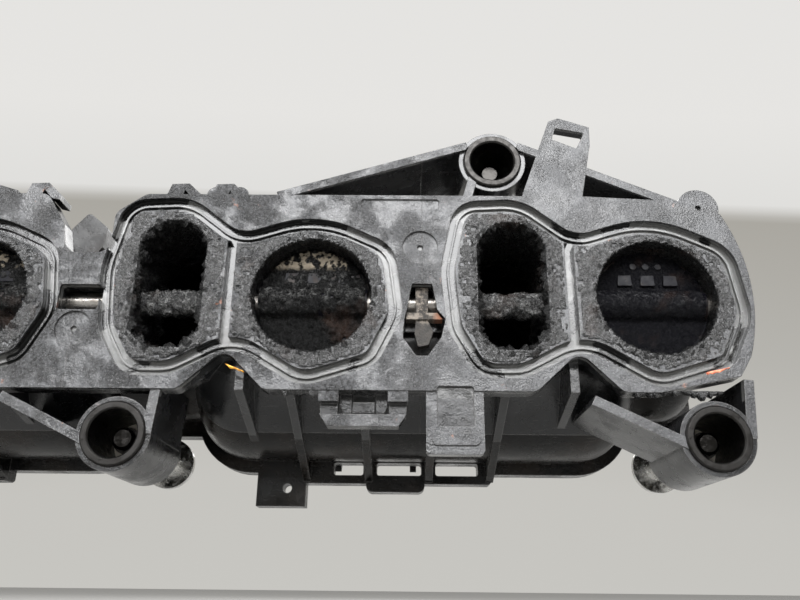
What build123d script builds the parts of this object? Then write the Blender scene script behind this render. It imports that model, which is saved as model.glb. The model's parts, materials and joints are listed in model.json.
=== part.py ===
"""Intake manifold of a four-cylinder engine, with swirl flaps and an electric flap actuator.

Frame: X runs along the engine, Y points away from the cylinder head, Z is up.
The sealing face for the cylinder head is the plane Y = 0 and faces -Y. The origin lies on
that face, level with the centres of the round ports. All sizes are in millimetres.
"""
from build123d import *
import os
from math import acos, cos, pi, radians, sin, sqrt, tan

os.makedirs("parts", exist_ok=True)

# ---------------------------------------------------------------- driving dimensions
cylinder_pitch = 91.0
last_round_x = 156.5
round_xs = [last_round_x - cylinder_pitch * step for step in (3, 2, 1, 0)]
round_port_r = 16.1
tall_offset = -37.75
tall_port_w = 19.0
tall_port_low = -15.3
tall_port_high = 21.8
middle_x = 18.2

wall = 3.0
plate_depth = 6.0
plate_top = 29.8
plate_low = -25.6
plate_left = -176.0
plate_right = 181.8

groove_w = 3.8
groove_depth = 2.2
groove_bridge = -22.1
ridge_w = 0.6
ridge_height = 0.9

shaft_y = 8.0
shaft_r = 3.0
running_gap = 0.05
shaft_end_x = 179.0
lever_x = -186.0
shaft_bore_r = 3.4
gallery_r = 7.5
bush_r = 5.0
bush_length = 9.0

flap_r = 15.6
flap_thick = 2.6
flap_hub_r = 4.6

low_bolt_z = -36.9
high_bolt_z = 41.2
low_bolt_step = 149.7
high_bolt_step = 96.5
low_bolts = [(middle_x + low_bolt_step * side, low_bolt_z) for side in (-1, 0, 1)]
high_bolts = [(middle_x + high_bolt_step * side, high_bolt_z) for side in (-1, 1)]
bolt_places = low_bolts + high_bolts
tower_r = 9.4
tower_front = 1.0
tower_back = 28.0
sleeve_r = 8.16
sleeve_bore_r = 6.1
sleeve_length = 28.5
bolt_r = 3.5
bolt_tip_r = 2.9
bolt_tip_y = 7.5
bolt_seat_y = 49.0
bolt_flange_r = 7.5
bolt_head_af = 10.0

block_back_y = 28.5
weld_y = 55.0
skirt_slots = [(-20.0, 9.1), (-4.4, 13.8), (13.4, 13.1)]
rim_thick = 3.0
tube_y = 45.0
tube_z = 1.0
tube_r = 25.0
tube_left = -172.0
tube_right = 177.0
belly_z = -6.0
belly_r = 30.0
belly_length = 130.0
belly_centres = [middle_x - 75.0, middle_x + 75.0]

inlet_x = -118.0
inlet_bore_r = 27.0
inlet_z = 2.0
elbow_start_y = 80.0
elbow_bend_r = 34.0
elbow_turn_y = 116.0
inlet_face_z = -88.0
inlet_plate = 72.0
inlet_plate_thick = 8.0
inlet_hole_step = 56.0
inlet_insert_r = 4.0
inlet_screw_r = 2.5

sensor_x = -50.0
sensor_y = 41.0
sensor_seat_z = 31.0
sensor_screw_step = -15.0
latch_x = 80.0
seal_r = 6.5
seal_length = 4.0

output_y = 48.0
output_z = 0.0
arm_length = 16.0
arm_rest_angle = 50.0
gear_module = 0.8
output_teeth = 45
small_teeth = 15
large_teeth = 40
pinion_teeth = 14
link_x = -193.0
link_thick = 3.5
pin_r = 2.5
output_r = 4.0
axle_r = 2.0
motor_r = 9.5
case_back_x = -197.0
case_front_x = -222.0
case_lid_x = -225.0
case_wall = 2.5
front_posts = [(42.0, -28.0), (34.0, 38.0)]
cover_post = (80.5, 8.0)
case_posts = front_posts + [cover_post]


# ---------------------------------------------------------------- helpers
def face_plane(y):
    """Plane parallel to the sealing face at depth y; its axes are X and Z."""
    return Plane.XZ.offset(-y)


def end_plane(x):
    """Plane across the manifold at x; its axes are Y and Z."""
    return Plane.YZ.offset(x)


def slab(corners, y_from, y_to, mode=Mode.ADD, round_off=0.0):
    """Plate with an X-Z outline, between two depths."""
    with BuildSketch(face_plane(y_from)) as outline:
        with BuildLine():
            Polyline(*corners, close=True)
        make_face()
        if round_off:
            fillet(outline.vertices(), round_off)
    extrude(outline.sketch, amount=y_from - y_to, mode=mode)


def strut(start, end, thick, y_from, y_to):
    """Straight wall between two X-Z points, running in depth."""
    run_x, run_z = end[0] - start[0], end[1] - start[1]
    run = sqrt(run_x**2 + run_z**2)
    side_x, side_z = -run_z / run * thick / 2, run_x / run * thick / 2
    slab(
        [
            (start[0] + side_x, start[1] + side_z),
            (end[0] + side_x, end[1] + side_z),
            (end[0] - side_x, end[1] - side_z),
            (start[0] - side_x, start[1] - side_z),
        ],
        y_from,
        y_to,
    )


def rib(x, corners, thick=2.3):
    """Upright wall across the manifold with a Y-Z outline."""
    with BuildSketch(end_plane(x - thick / 2)) as outline:
        with BuildLine():
            Polyline(*corners, close=True)
        make_face()
    extrude(outline.sketch, amount=thick)


def rod_x(radius, x_from, x_to, y, z, mode=Mode.ADD):
    """Round bar along X."""
    with BuildSketch(end_plane(x_from)) as section:
        with Locations((y, z)):
            Circle(radius)
    extrude(section.sketch, amount=x_to - x_from, mode=mode)


def rod_y(radius, y_from, y_to, places, mode=Mode.ADD):
    """Round bars along Y at X-Z places."""
    with BuildSketch(face_plane(y_from)) as section:
        with Locations(*places):
            Circle(radius)
    extrude(section.sketch, amount=y_from - y_to, mode=mode)


def tall_port(x, grow):
    """Outline of a tall port: full round head, smaller radii at its foot."""
    height = tall_port_high - tall_port_low + 2 * grow
    width = tall_port_w + 2 * grow
    low = tall_port_low - grow
    with BuildLine() as edge:
        Polyline((x - width / 2, low + 5), (x - width / 2, low + height - width / 2))
        ThreePointArc(
            (x - width / 2, low + height - width / 2),
            (x, low + height),
            (x + width / 2, low + height - width / 2),
        )
        Polyline(
            (x + width / 2, low + height - width / 2),
            (x + width / 2, low + 5),
            (x + width / 2 - 5, low),
            (x - width / 2 + 5, low),
            (x - width / 2, low + 5),
        )
    make_face(edge.edges())


def seal_line(x, reach, mode=Mode.ADD):
    """Area inside the gasket groove's centre line round one port pair, grown by reach."""
    corners_and_radii = [
        ((-20.5, 15.6), 10.0),
        ((0.5, 22.4), 26.0),
        ((20.2, 13.2), 8.0),
        ((22.6, -4.5), 10.0),
        ((16.4, -17.4), 6.0),
        ((-1.5, -23.0), 9.0),
        ((-19.8, -12.0), 12.0),
        ((-35.5, -20.2), 10.0),
        ((-46.6, -20.3), 7.0),
        ((-53.3, -8.6), 12.0),
        ((-54.9, 8.0), 20.0),
        ((-51.2, 26.2), 6.0),
        ((-35.0, 27.0), 12.0),
    ]
    with BuildSketch(mode=Mode.PRIVATE) as inside:
        with BuildLine():
            FilletPolyline(
                *[(x + corner_x, corner_z) for (corner_x, corner_z), _ in corners_and_radii],
                radius=[radius for _, radius in corners_and_radii],
                close=True,
            )
        make_face()
    add(offset(inside.sketch, amount=reach, kind=Kind.TANGENT, mode=Mode.PRIVATE), mode=mode)


def chamber(inset, mode=Mode.ADD):
    """Round plenum: a long tube and two bellies, moved inwards by inset."""
    sizes = [
        (tube_left + inset, tube_right - inset, tube_z, tube_r - inset, 9.0 - inset),
    ]
    for centre in belly_centres:
        half = belly_length / 2 - inset
        sizes.append((centre - half, centre + half, belly_z, belly_r - inset, 16.0 - inset))
    for low_x, high_x, z, radius, edge_r in sizes:
        with BuildSketch(face_plane(tube_y)) as half_section:
            with Locations(((low_x + high_x) / 2, z - radius / 2)):
                Rectangle(high_x - low_x, radius)
            fillet(half_section.vertices().group_by(Axis.Y)[0], edge_r)
        revolve(half_section.sketch, axis=Axis((0, tube_y, z), (1, 0, 0)), mode=mode)


def weld_rim():
    """Outline of the weld rim, with the slotted skirt that hangs below each belly."""
    with Locations(((tube_left + tube_right + 4) / 2, tube_z)):
        RectangleRounded(tube_right + 4 - tube_left, 2 * (tube_r + 4), 10)
    for centre in belly_centres:
        with Locations((centre, -5.5)):
            RectangleRounded(belly_length + 6, 67, 18)
        with Locations((centre - 6.0, -38.0)):
            RectangleRounded(60, 8.0, 1.0)
        with Locations((centre - 5.5, -41.0)):
            RectangleRounded(18, 7.0, 2.0)
        with Locations((centre - 40.5, -40.0)):
            Rectangle(15, 18)
        with Locations((centre - 38.7, -43.6)):
            Circle(1.4, mode=Mode.SUBTRACT)
        for slot_x, slot_w in skirt_slots:
            with Locations((centre + slot_x, -37.6)):
                RectangleRounded(slot_w, 3.8, 0.8, mode=Mode.SUBTRACT)


def gear_outline(y, z, teeth, phase):
    """Spur gear outline with involute flanks, thinned for backlash."""
    pitch_r = gear_module * teeth / 2
    base_r = pitch_r * cos(radians(20))
    root_r = pitch_r - 1.25 * gear_module
    tip_r = pitch_r + 0.9 * gear_module
    thinning = 0.10

    def half_width(radius):
        def involute(r):
            angle = acos(min(1.0, base_r / r))
            return tan(angle) - angle

        half = pi / (2 * teeth) + involute(pitch_r) - involute(max(radius, base_r))
        return radius * half - thinning

    flank_radii = [root_r - 0.2, max(base_r, root_r + 0.1), pitch_r, (pitch_r + tip_r) / 2, tip_r]
    left = [(r, half_width(r)) for r in flank_radii]
    right = [(r, -w) for r, w in reversed(left)]
    with Locations((y, z)):
        Circle(root_r)
        with PolarLocations(0, teeth, start_angle=phase):
            Polygon(*(left + right), align=None)


def on_arc(y, z, radius, angle):
    """Point at an angle from +Y towards +Z round (y, z)."""
    return (y + radius * cos(radians(angle)), z + radius * sin(radians(angle)))


# ---------------------------------------------------------------- port housing
window_xs = [last_round_x - cylinder_pitch * step - 61.7 for step in (0, 2)]
bush_xs = [round_x + groove_bridge - bush_length / 2 for round_x in round_xs]
clip_xs = [-11.0, 28.5, 41.0]
with BuildPart() as port_housing:
    # Sealing plate with a waist below each port pair and a notch at mid length.
    with BuildSketch(face_plane(0)) as plate:
        with BuildLine():
            Polyline(
                (176.5, 24.5),
                (166.0, 28.5),
                (140.0, plate_top),
                (plate_left + 5, plate_top),
                (plate_left, plate_top - 8),
                (plate_left, plate_low + 8),
                (plate_left + 5, plate_low),
                (155.0, plate_low),
                (175.5, -21.2),
                (178.8, -16.0),
            )
            ThreePointArc((178.8, -16.0), (plate_right, -0.6), (176.5, 24.5))
        make_face()
        for round_x in round_xs:
            waist_x = round_x - 21.4
            with BuildLine():
                Polyline(
                    (waist_x - 13.5, plate_low - 2),
                    (waist_x, -15.0),
                    (waist_x + 12.5, plate_low - 2),
                    close=True,
                )
            make_face(mode=Mode.SUBTRACT)
        with BuildLine():
            Polyline((-10, 31), (-3.6, 21), (-1.6, 11.9), (10.4, 11.9), (10.4, 24), (20, 31), close=True)
        make_face(mode=Mode.SUBTRACT)
        fillet(plate.vertices().filter_by(lambda v: abs(v.X) < 165), 3.6)
        with Locations((170.7, 26.4)):
            Circle(5.6)
    extrude(amount=-plate_depth)

    # Ducts behind the ports, shaft gallery and bolt towers.
    with BuildSketch(face_plane(plate_depth)):
        for round_x in round_xs:
            with Locations((round_x, 0)):
                Circle(round_port_r + wall)
            tall_port(round_x + tall_offset, wall)
    extrude(amount=plate_depth - 32.0)
    rod_x(gallery_r, plate_left, shaft_end_x + 2.0, shaft_y, 0)
    rod_y(tower_r, tower_front, tower_back, bolt_places)

    # Walls that carry the towers.
    for tower_x in (middle_x, low_bolts[2][0], low_bolts[0][0]):
        strut((tower_x - 30, -27.5), (tower_x - 6, -39.0), 2.5, 0.6, 26)
        strut((tower_x + 9.5, -22), (tower_x + 8.2, -36.9), 2.5, 0.6, 26)
    for side in (-1, 1):
        top_x = middle_x + high_bolt_step * side
        strut((middle_x + 36.5 * side, 29.6), (top_x - 7.0 * side, 46.0), 2.3, 0, tower_back)
        strut((top_x + 7.0 * side, 46.0), (middle_x + 147.6 * side, 27.2), 2.3, 0, tower_back)
        strut((top_x - 5.5 * side, 36.0), (top_x - 8 * side, 27), 2.5, 0.6, 26)

    # Plenum front, weld rim and the ribs under it.
    chamber(0.0)
    split(bisect_by=face_plane(weld_y), keep=Keep.TOP)
    with BuildSketch(face_plane(weld_y - rim_thick)):
        weld_rim()
    extrude(amount=-rim_thick)
    for centre in belly_centres:
        for rib_shift in (-45.8, -32.7, -13.7, 4.8, 23.4, 41.3):
            reach = 40.0 if rib_shift < -40 else weld_y - rim_thick
            foot = -35.5 if abs(rib_shift) > 40 else -41.4
            rib(centre + rib_shift, [(5, -14), (5, -24.6), (reach, foot), (reach, -14)])

    # Posts for the flap actuator and the sensor boss.
    for post_y, post_z in front_posts:
        rod_x(5.0, case_back_x, tube_left + 14, post_y, post_z)
        rib(
            tube_left + 9,
            [(post_y - 4, post_z), (post_y + 4, post_z), (tube_y + 6, tube_z), (tube_y - 12, tube_z)],
            8.0,
        )
    with BuildSketch(Plane.XY.offset(15)):
        with Locations((sensor_x, sensor_y)):
            Circle(9.5)
        with Locations((sensor_x + sensor_screw_step, sensor_y)):
            Circle(5.0)
    extrude(amount=sensor_seat_z - 15)

    # Strap tab, lower tab and latch.
    slab([(121.5, 27), (131.2, 54.2), (134.1, 55.3), (142.8, 52.3), (142.6, 46.4), (138.7, 27)], 0, 3.2)
    slab([(95.8, -23), (110.3, -23), (110.3, -41.4), (95.8, -41.4)], 0.5, 4.0, round_off=1.2)
    slab([(97.3, -36.2), (109.2, -36.2), (109.2, -39.2), (97.3, -39.2)], 0, 0.6, round_off=1.3)
    for side in (-1, 1):
        slab(
            [
                (latch_x + 6.2 * side, -24),
                (latch_x + 11.3 * side, -24),
                (latch_x + 11.3 * side, -28.4),
                (latch_x + 6.2 * side, -28.4),
            ],
            0.3,
            5.0,
        )
        slab(
            [
                (latch_x + 6.4 * side, -28),
                (latch_x + 11.1 * side, -28),
                (latch_x + 10.8 * side, -32),
                (latch_x + 6.6 * side, -32),
            ],
            2.6,
            5.0,
        )
        slab(
            [
                (latch_x + 3.1 * side, -22),
                (latch_x + 6.0 * side, -22),
                (latch_x + 6.0 * side, -29),
                (latch_x + 5.2 * side, -30.6),
                (latch_x + 3.1 * side, -30.6),
            ],
            4.5,
            9.5,
        )
    slab(
        [
            (latch_x - 10.9, -31.6),
            (latch_x + 10.9, -31.6),
            (latch_x + 8.9, -34.6),
            (latch_x - 8.9, -34.6),
        ],
        0.6,
        5.0,
    )
    with BuildSketch(end_plane(latch_x - 2.8)):
        with BuildLine():
            Polyline((9, -22), (9, -33), (6, -33.6), (3.6, -30.6), (3.6, -27.9), (6, -27.9), (6, -22), close=True)
        make_face()
    extrude(amount=5.6)

    # Harness clips along the top edge.
    for clip_x in clip_xs:
        with BuildSketch(face_plane(0.4)):
            with BuildLine():
                Polyline(
                    (clip_x - 5.0, plate_top - 0.8),
                    (clip_x - 3.6, plate_top + 3.4),
                    (clip_x + 1.2, plate_top + 3.6),
                    (clip_x + 5.2, plate_top - 0.2),
                    (clip_x + 5.0, plate_top - 1.8),
                    (clip_x + 2.6, plate_top - 1.2),
                    (clip_x + 0.2, plate_top + 1.6),
                    (clip_x - 0.4, plate_top - 0.8),
                    close=True,
                )
            make_face()
        extrude(amount=-7.0)
    for bump_x in (37.5, 44.0):
        rod_y(2.6, 0.5, 6.0, [(bump_x, plate_top)])

    # Stop block on the plenum, seen through the notch.
    slab(
        [(-14.2, 21.5), (-14.9, 32.7), (-10.1, 38.6), (-3.5, 33.2), (-4.4, 26.6), (-6.2, 23.6), (-11.7, 21.5)],
        block_back_y,
        40.0,
        round_off=1.2,
    )

    # Plenum hollow and port bores.
    chamber(wall, Mode.SUBTRACT)
    with BuildSketch(face_plane(-1)):
        for round_x in round_xs:
            with Locations((round_x, 0)):
                Circle(round_port_r)
            tall_port(round_x + tall_offset, 0)
    extrude(amount=-(tube_y + 1), mode=Mode.SUBTRACT)
    rod_y(sleeve_r + 0.02, -1, tower_back + 1, bolt_places, mode=Mode.SUBTRACT)
    rod_x(shaft_bore_r, plate_left - 1, shaft_end_x + 0.2, shaft_y, 0, mode=Mode.SUBTRACT)
    for bush_x in bush_xs:
        rod_x(bush_r, bush_x, bush_x + bush_length, shaft_y, 0, mode=Mode.SUBTRACT)
    rod_x(seal_r, plate_left - 1, plate_left + seal_length, shaft_y, 0, mode=Mode.SUBTRACT)
    for post_y, post_z in front_posts:
        rod_x(2.1, case_back_x - 1, case_back_x + 16, post_y, post_z, mode=Mode.SUBTRACT)
    with BuildSketch(Plane.XY.offset(sensor_seat_z)):
        with Locations((sensor_x, sensor_y)):
            Circle(6.3)
    extrude(amount=-20, mode=Mode.SUBTRACT)
    with BuildSketch(Plane.XY.offset(sensor_seat_z)):
        with Locations((sensor_x + sensor_screw_step, sensor_y)):
            Circle(1.6)
    extrude(amount=-8, mode=Mode.SUBTRACT)

    # Gasket grooves, each with a low ridge along its floor.
    with BuildSketch(face_plane(-0.01)):
        for round_x in round_xs:
            seal_line(round_x, groove_w / 2)
        for round_x in round_xs:
            seal_line(round_x, -groove_w / 2, mode=Mode.SUBTRACT)
            with Locations((round_x + groove_bridge, 1)):
                Rectangle(2.5, 29)
    extrude(amount=-groove_depth, mode=Mode.SUBTRACT)
    with BuildSketch(face_plane(groove_depth)):
        for round_x in round_xs:
            seal_line(round_x, ridge_w / 2)
        for round_x in round_xs:
            seal_line(round_x, -ridge_w / 2, mode=Mode.SUBTRACT)
    extrude(amount=ridge_height)

    # Windows on the flap shaft, strap eye, finger slot and shallow marks.
    slab([(-1.2, 2.6), (9.6, 2.6), (9.6, -4.5), (-1.2, -4.5)], -1, 11.5, Mode.SUBTRACT, 0.8)
    for window_x in window_xs:
        slab(
            [
                (window_x - 2.7, 3.4),
                (window_x + 2.7, 3.4),
                (window_x + 4.0, -3.9),
                (window_x + 6.2, -6.5),
                (window_x + 5.0, -11.5),
                (window_x + 1.5, -16.5),
                (window_x - 1.5, -16.5),
                (window_x - 5.0, -11.5),
                (window_x - 4.6, -6.5),
                (window_x - 4.0, -3.9),
            ],
            -1,
            12.5,
            Mode.SUBTRACT,
            0.6,
        )
    slab([(131.9, 48.2), (138.7, 45.2), (141.2, 50.4), (133.0, 52.0)], -1, 5, Mode.SUBTRACT, 0.5)
    slab([(91.7, -38), (91.7, -26.2), (95.4, -26.2), (95.4, -38)], -1, 7, Mode.SUBTRACT, 1.5)
    rod_y(4.8, -0.01, 0.6, [(94.3, 14.1), (4.0, -9.7)], mode=Mode.SUBTRACT)
    rod_y(0.8, 0.5, 1.4, [(94.3, 14.1), (4.0, -9.7)], mode=Mode.SUBTRACT)
    rod_y(0.8, -1, 1.0, [(170.7, 26.4)], mode=Mode.SUBTRACT)
    slab([(98.6, -24.4), (107.8, -24.4), (107.8, -34.6), (98.6, -34.6)], 0, 0.95, Mode.SUBTRACT, 0.6)
    slab([(78.0, 25.4), (99.5, 25.4), (99.5, 28.6), (78.0, 28.6)], -1, 0.5, Mode.SUBTRACT, 0.8)

# The housing is one moulding. Its front is kept as one block for each port pair, cut through
# the windows between the pairs, and the front half of the plenum behind them as one more part.
block_edges = [plate_left - 30, window_xs[1], window_xs[0] - cylinder_pitch, window_xs[0], plate_right + 30]
for number in range(1, 5):
    with BuildPart() as port_block:
        add(port_housing.part)
        split(bisect_by=face_plane(block_back_y), keep=Keep.TOP)
        split(bisect_by=end_plane(block_edges[number - 1]), keep=Keep.TOP)
        split(bisect_by=end_plane(block_edges[number]), keep=Keep.BOTTOM)
    port_block.part.label = f"port_block_{number}"
    export_step(port_block.part, f"parts/port_block_{number}.step")

with BuildPart() as plenum_front:
    add(port_housing.part)
    split(bisect_by=face_plane(block_back_y), keep=Keep.BOTTOM)
plenum_front.part.label = "plenum_front"
export_step(plenum_front.part, "parts/plenum_front.step")

# ---------------------------------------------------------------- plenum cover
with BuildPart() as plenum_cover:
    chamber(0.0)
    split(bisect_by=face_plane(weld_y), keep=Keep.BOTTOM)
    with BuildSketch(face_plane(weld_y)):
        weld_rim()
    extrude(amount=-rim_thick)
    for centre in belly_centres:
        for rib_shift in (-48, -24, 0, 24, 48):
            rib(
                centre + rib_shift,
                [(57, 20), (62, 26), (72, 18), (78, 6), (78, -18), (72, -30), (62, -37), (57, -30)],
                2.0,
            )
    slab([(-90, 12), (172, 12), (172, 14), (-90, 14)], 60, 72.5)
    slab([(-90, -10), (172, -10), (172, -12), (-90, -12)], 60, 72.5)
    rod_x(5.0, case_back_x, tube_left + 14, *cover_post)
    rib(tube_left + 9, [(79.0, 4.6), (82.0, 11.6), (58, 15.5), (58, -6.5)], 7.0)
    rod_y(inlet_bore_r + wall, weld_y + 3, elbow_start_y, [(inlet_x, inlet_z)])
    rod_y(inlet_bore_r + 7, elbow_start_y - 3, elbow_start_y, [(inlet_x, inlet_z)])
    chamber(wall, Mode.SUBTRACT)
    rod_y(inlet_bore_r, weld_y + 6, elbow_start_y + 1, [(inlet_x, inlet_z)], mode=Mode.SUBTRACT)
    rod_x(2.1, case_back_x - 1, case_back_x + 16, *cover_post, mode=Mode.SUBTRACT)
plenum_cover.part.label = "plenum_cover"
export_step(plenum_cover.part, "parts/plenum_cover.step")


# ---------------------------------------------------------------- inlet elbow
def inlet_sweep(radius, mode=Mode.ADD):
    """Round bar along the elbow's centre line."""
    with BuildLine() as route:
        FilletPolyline(
            (inlet_x, elbow_start_y, inlet_z),
            (inlet_x, elbow_turn_y, inlet_z),
            (inlet_x, elbow_turn_y, inlet_face_z),
            radius=elbow_bend_r,
        )
    with BuildSketch(Plane((inlet_x, elbow_start_y, inlet_z), z_dir=(0, 1, 0))) as section:
        Circle(radius)
    sweep(section.sketch, path=route.line, mode=mode)


with BuildPart() as inlet_elbow:
    inlet_sweep(inlet_bore_r + wall)
    rod_y(inlet_bore_r + 7, elbow_start_y, elbow_start_y + 3, [(inlet_x, inlet_z)])
    with BuildSketch(Plane.XY.offset(inlet_face_z)):
        with Locations((inlet_x, elbow_turn_y)):
            RectangleRounded(inlet_plate, inlet_plate, 9)
    extrude(amount=inlet_plate_thick)
    for turn in range(4):
        with BuildSketch(Plane.XY.offset(inlet_face_z + inlet_plate_thick - 0.5)):
            with Locations((inlet_x, elbow_turn_y)):
                with PolarLocations(0, 1, start_angle=45 + 90 * turn):
                    with Locations((36.0, 0)):
                        Rectangle(14, 3)
        extrude(amount=12, taper=6)
    inlet_sweep(inlet_bore_r, Mode.SUBTRACT)
    with BuildSketch(Plane.XY.offset(inlet_face_z)):
        with Locations((inlet_x, elbow_turn_y)):
            Circle(33.0)
            Circle(29.4, mode=Mode.SUBTRACT)
    extrude(amount=2.6, mode=Mode.SUBTRACT)
    with BuildSketch(Plane.XY.offset(inlet_face_z - 1)):
        with Locations((inlet_x, elbow_turn_y)):
            with GridLocations(inlet_hole_step, inlet_hole_step, 2, 2):
                Circle(inlet_insert_r)
    extrude(amount=inlet_plate_thick + 8, mode=Mode.SUBTRACT)
inlet_elbow.part.label = "inlet_elbow"
export_step(inlet_elbow.part, "parts/inlet_elbow.step")

with BuildPart() as inlet_inserts:
    with BuildSketch(Plane.XY.offset(inlet_face_z)):
        with Locations((inlet_x, elbow_turn_y)):
            with GridLocations(inlet_hole_step, inlet_hole_step, 2, 2):
                Circle(inlet_insert_r)
                Circle(inlet_screw_r, mode=Mode.SUBTRACT)
    extrude(amount=inlet_plate_thick + 1.5)
inlet_inserts.part.label = "inlet_inserts"
export_step(inlet_inserts.part, "parts/inlet_inserts.step")

with BuildPart() as inlet_seal:
    with BuildSketch(Plane.XY.offset(inlet_face_z)):
        with Locations((inlet_x, elbow_turn_y)):
            Circle(32.4)
            Circle(30.0, mode=Mode.SUBTRACT)
    extrude(amount=2.6)
    chamfer(inlet_seal.edges().filter_by(GeomType.CIRCLE).group_by(Axis.Z)[0], 0.5)
inlet_seal.part.label = "inlet_seal"
export_step(inlet_seal.part, "parts/inlet_seal.step")

# ---------------------------------------------------------------- head bolts and sleeves
with BuildPart() as bolt_sleeves:
    rod_y(sleeve_r, 0, sleeve_length, bolt_places)
    rod_y(sleeve_bore_r, -1, sleeve_length + 1, bolt_places, mode=Mode.SUBTRACT)
    chamfer(bolt_sleeves.edges().filter_by(GeomType.CIRCLE).group_by(Axis.Y)[0], 0.4)
bolt_sleeves.part.label = "bolt_sleeves"
export_step(bolt_sleeves.part, "parts/bolt_sleeves.step")

with BuildPart() as bolt_retainers:
    rod_y(sleeve_bore_r - 0.02, 19, 22.5, bolt_places)
    rod_y(bolt_r + 0.08, 18, 23.5, bolt_places, mode=Mode.SUBTRACT)
bolt_retainers.part.label = "bolt_retainers"
export_step(bolt_retainers.part, "parts/bolt_retainers.step")

for number, (bolt_x, bolt_z) in enumerate(bolt_places, start=1):
    with BuildPart() as head_bolt:
        rod_y(bolt_tip_r, bolt_tip_y, bolt_tip_y + 3.5, [(bolt_x, bolt_z)])
        rod_y(bolt_r, bolt_tip_y + 3.5, bolt_seat_y, [(bolt_x, bolt_z)])
        rod_y(bolt_flange_r, bolt_seat_y, bolt_seat_y + 1.8, [(bolt_x, bolt_z)])
        with BuildSketch(face_plane(bolt_seat_y + 1.8)):
            with Locations((bolt_x, bolt_z)):
                RegularPolygon(bolt_head_af / 2, 6, major_radius=False)
        extrude(amount=-6.2)
        chamfer(head_bolt.edges().filter_by(GeomType.CIRCLE).group_by(Axis.Y)[0], 0.7)
    head_bolt.part.label = f"head_bolt_{number}"
    export_step(head_bolt.part, f"parts/head_bolt_{number}.step")

# ---------------------------------------------------------------- flap shaft and flaps
with BuildPart() as flap_shaft:
    rod_x(shaft_r, lever_x - 3.0, shaft_end_x, shaft_y, 0)
    chamfer(flap_shaft.edges().filter_by(GeomType.CIRCLE), 0.4)
flap_shaft.part.label = "flap_shaft"
export_step(flap_shaft.part, "parts/flap_shaft.step")

for number, round_x in enumerate(round_xs, start=1):
    with BuildPart() as swirl_flap:
        rod_y(flap_r, shaft_y - flap_thick / 2, shaft_y + flap_thick / 2, [(round_x, 0)])
        rod_x(flap_hub_r, round_x - 14.6, round_x + 14.6, shaft_y, 0)
        flap_front = shaft_y - flap_thick / 2
        for pad_x in (-6.2, 0, 6.2):
            slab(
                [
                    (round_x + pad_x - 2.0, 5.6),
                    (round_x + pad_x + 2.0, 5.6),
                    (round_x + pad_x + 1.7, 8.6),
                    (round_x + pad_x - 1.7, 8.6),
                ],
                flap_front - 0.9,
                flap_front + 0.5,
            )
        rod_y(0.9, flap_front - 0.5, shaft_y, [(round_x + x, 11.4) for x in (-3.4, 0, 3.4)])
        rod_x(shaft_r, round_x - 16, round_x + 16, shaft_y, 0, mode=Mode.SUBTRACT)
    swirl_flap.part.label = f"swirl_flap_{number}"
    export_step(swirl_flap.part, f"parts/swirl_flap_{number}.step")

with BuildPart() as shaft_bushes:
    for bush_x in bush_xs:
        rod_x(bush_r - 0.01, bush_x, bush_x + bush_length, shaft_y, 0)
    rod_x(shaft_r + running_gap, plate_left, plate_right, shaft_y, 0, mode=Mode.SUBTRACT)
shaft_bushes.part.label = "shaft_bushes"
export_step(shaft_bushes.part, "parts/shaft_bushes.step")

with BuildPart() as shaft_seal:
    rod_x(seal_r - 0.01, plate_left, plate_left + seal_length, shaft_y, 0)
    rod_x(shaft_r + running_gap, plate_left - 1, plate_left + 6, shaft_y, 0, mode=Mode.SUBTRACT)
shaft_seal.part.label = "shaft_seal"
export_step(shaft_seal.part, "parts/shaft_seal.step")

with BuildPart() as shaft_clips:
    for window_x in window_xs:
        slab(
            [
                (window_x - 1.7, 3.2),
                (window_x + 1.7, 3.2),
                (window_x + 1.6, -4.6),
                (window_x - 1.6, -4.6),
            ],
            2.4,
            4.6,
        )
        slab(
            [
                (window_x - 4.0, -4.4),
                (window_x + 4.1, -4.4),
                (window_x + 5.4, -6.2),
                (window_x - 4.2, -6.2),
            ],
            1.2,
            4.6,
        )
        slab(
            [
                (window_x - 1.6, -6.0),
                (window_x + 1.4, -6.0),
                (window_x + 3.0, -9.5),
                (window_x + 1.8, -13.0),
                (window_x - 1.0, -13.6),
                (window_x - 1.9, -10.0),
            ],
            1.8,
            4.6,
            round_off=0.5,
        )
shaft_clips.part.label = "shaft_clips"
export_step(shaft_clips.part, "parts/shaft_clips.step")


# ---------------------------------------------------------------- linkage
def crank_arm(y, z, thick_from, thick_to, hub_r):
    """Flat arm across the shaft, with a hub and a pin eye."""
    pin = on_arc(y, z, arm_length, arm_rest_angle)
    with BuildSketch(end_plane(thick_from)) as arm:
        with Locations((y, z)):
            Circle(hub_r)
        with Locations(pin):
            Circle(4.2)
        make_hull()
    extrude(arm.sketch, amount=thick_to - thick_from)
    rod_x(pin_r, link_x - 1.5, thick_from, *pin)
    rod_x(3.6, link_x - 2.6, link_x - 1.5, *pin)


lever_pin = on_arc(shaft_y, 0, arm_length, arm_rest_angle)
crank_pin = on_arc(output_y, output_z, arm_length, arm_rest_angle)
with BuildPart() as shaft_lever:
    crank_arm(shaft_y, 0, lever_x - 1.5, lever_x + 2.0, 7.0)
    rod_x(shaft_r, lever_x - 4, lever_x + 4, shaft_y, 0, mode=Mode.SUBTRACT)
shaft_lever.part.label = "shaft_lever"
export_step(shaft_lever.part, "parts/shaft_lever.step")

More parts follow.
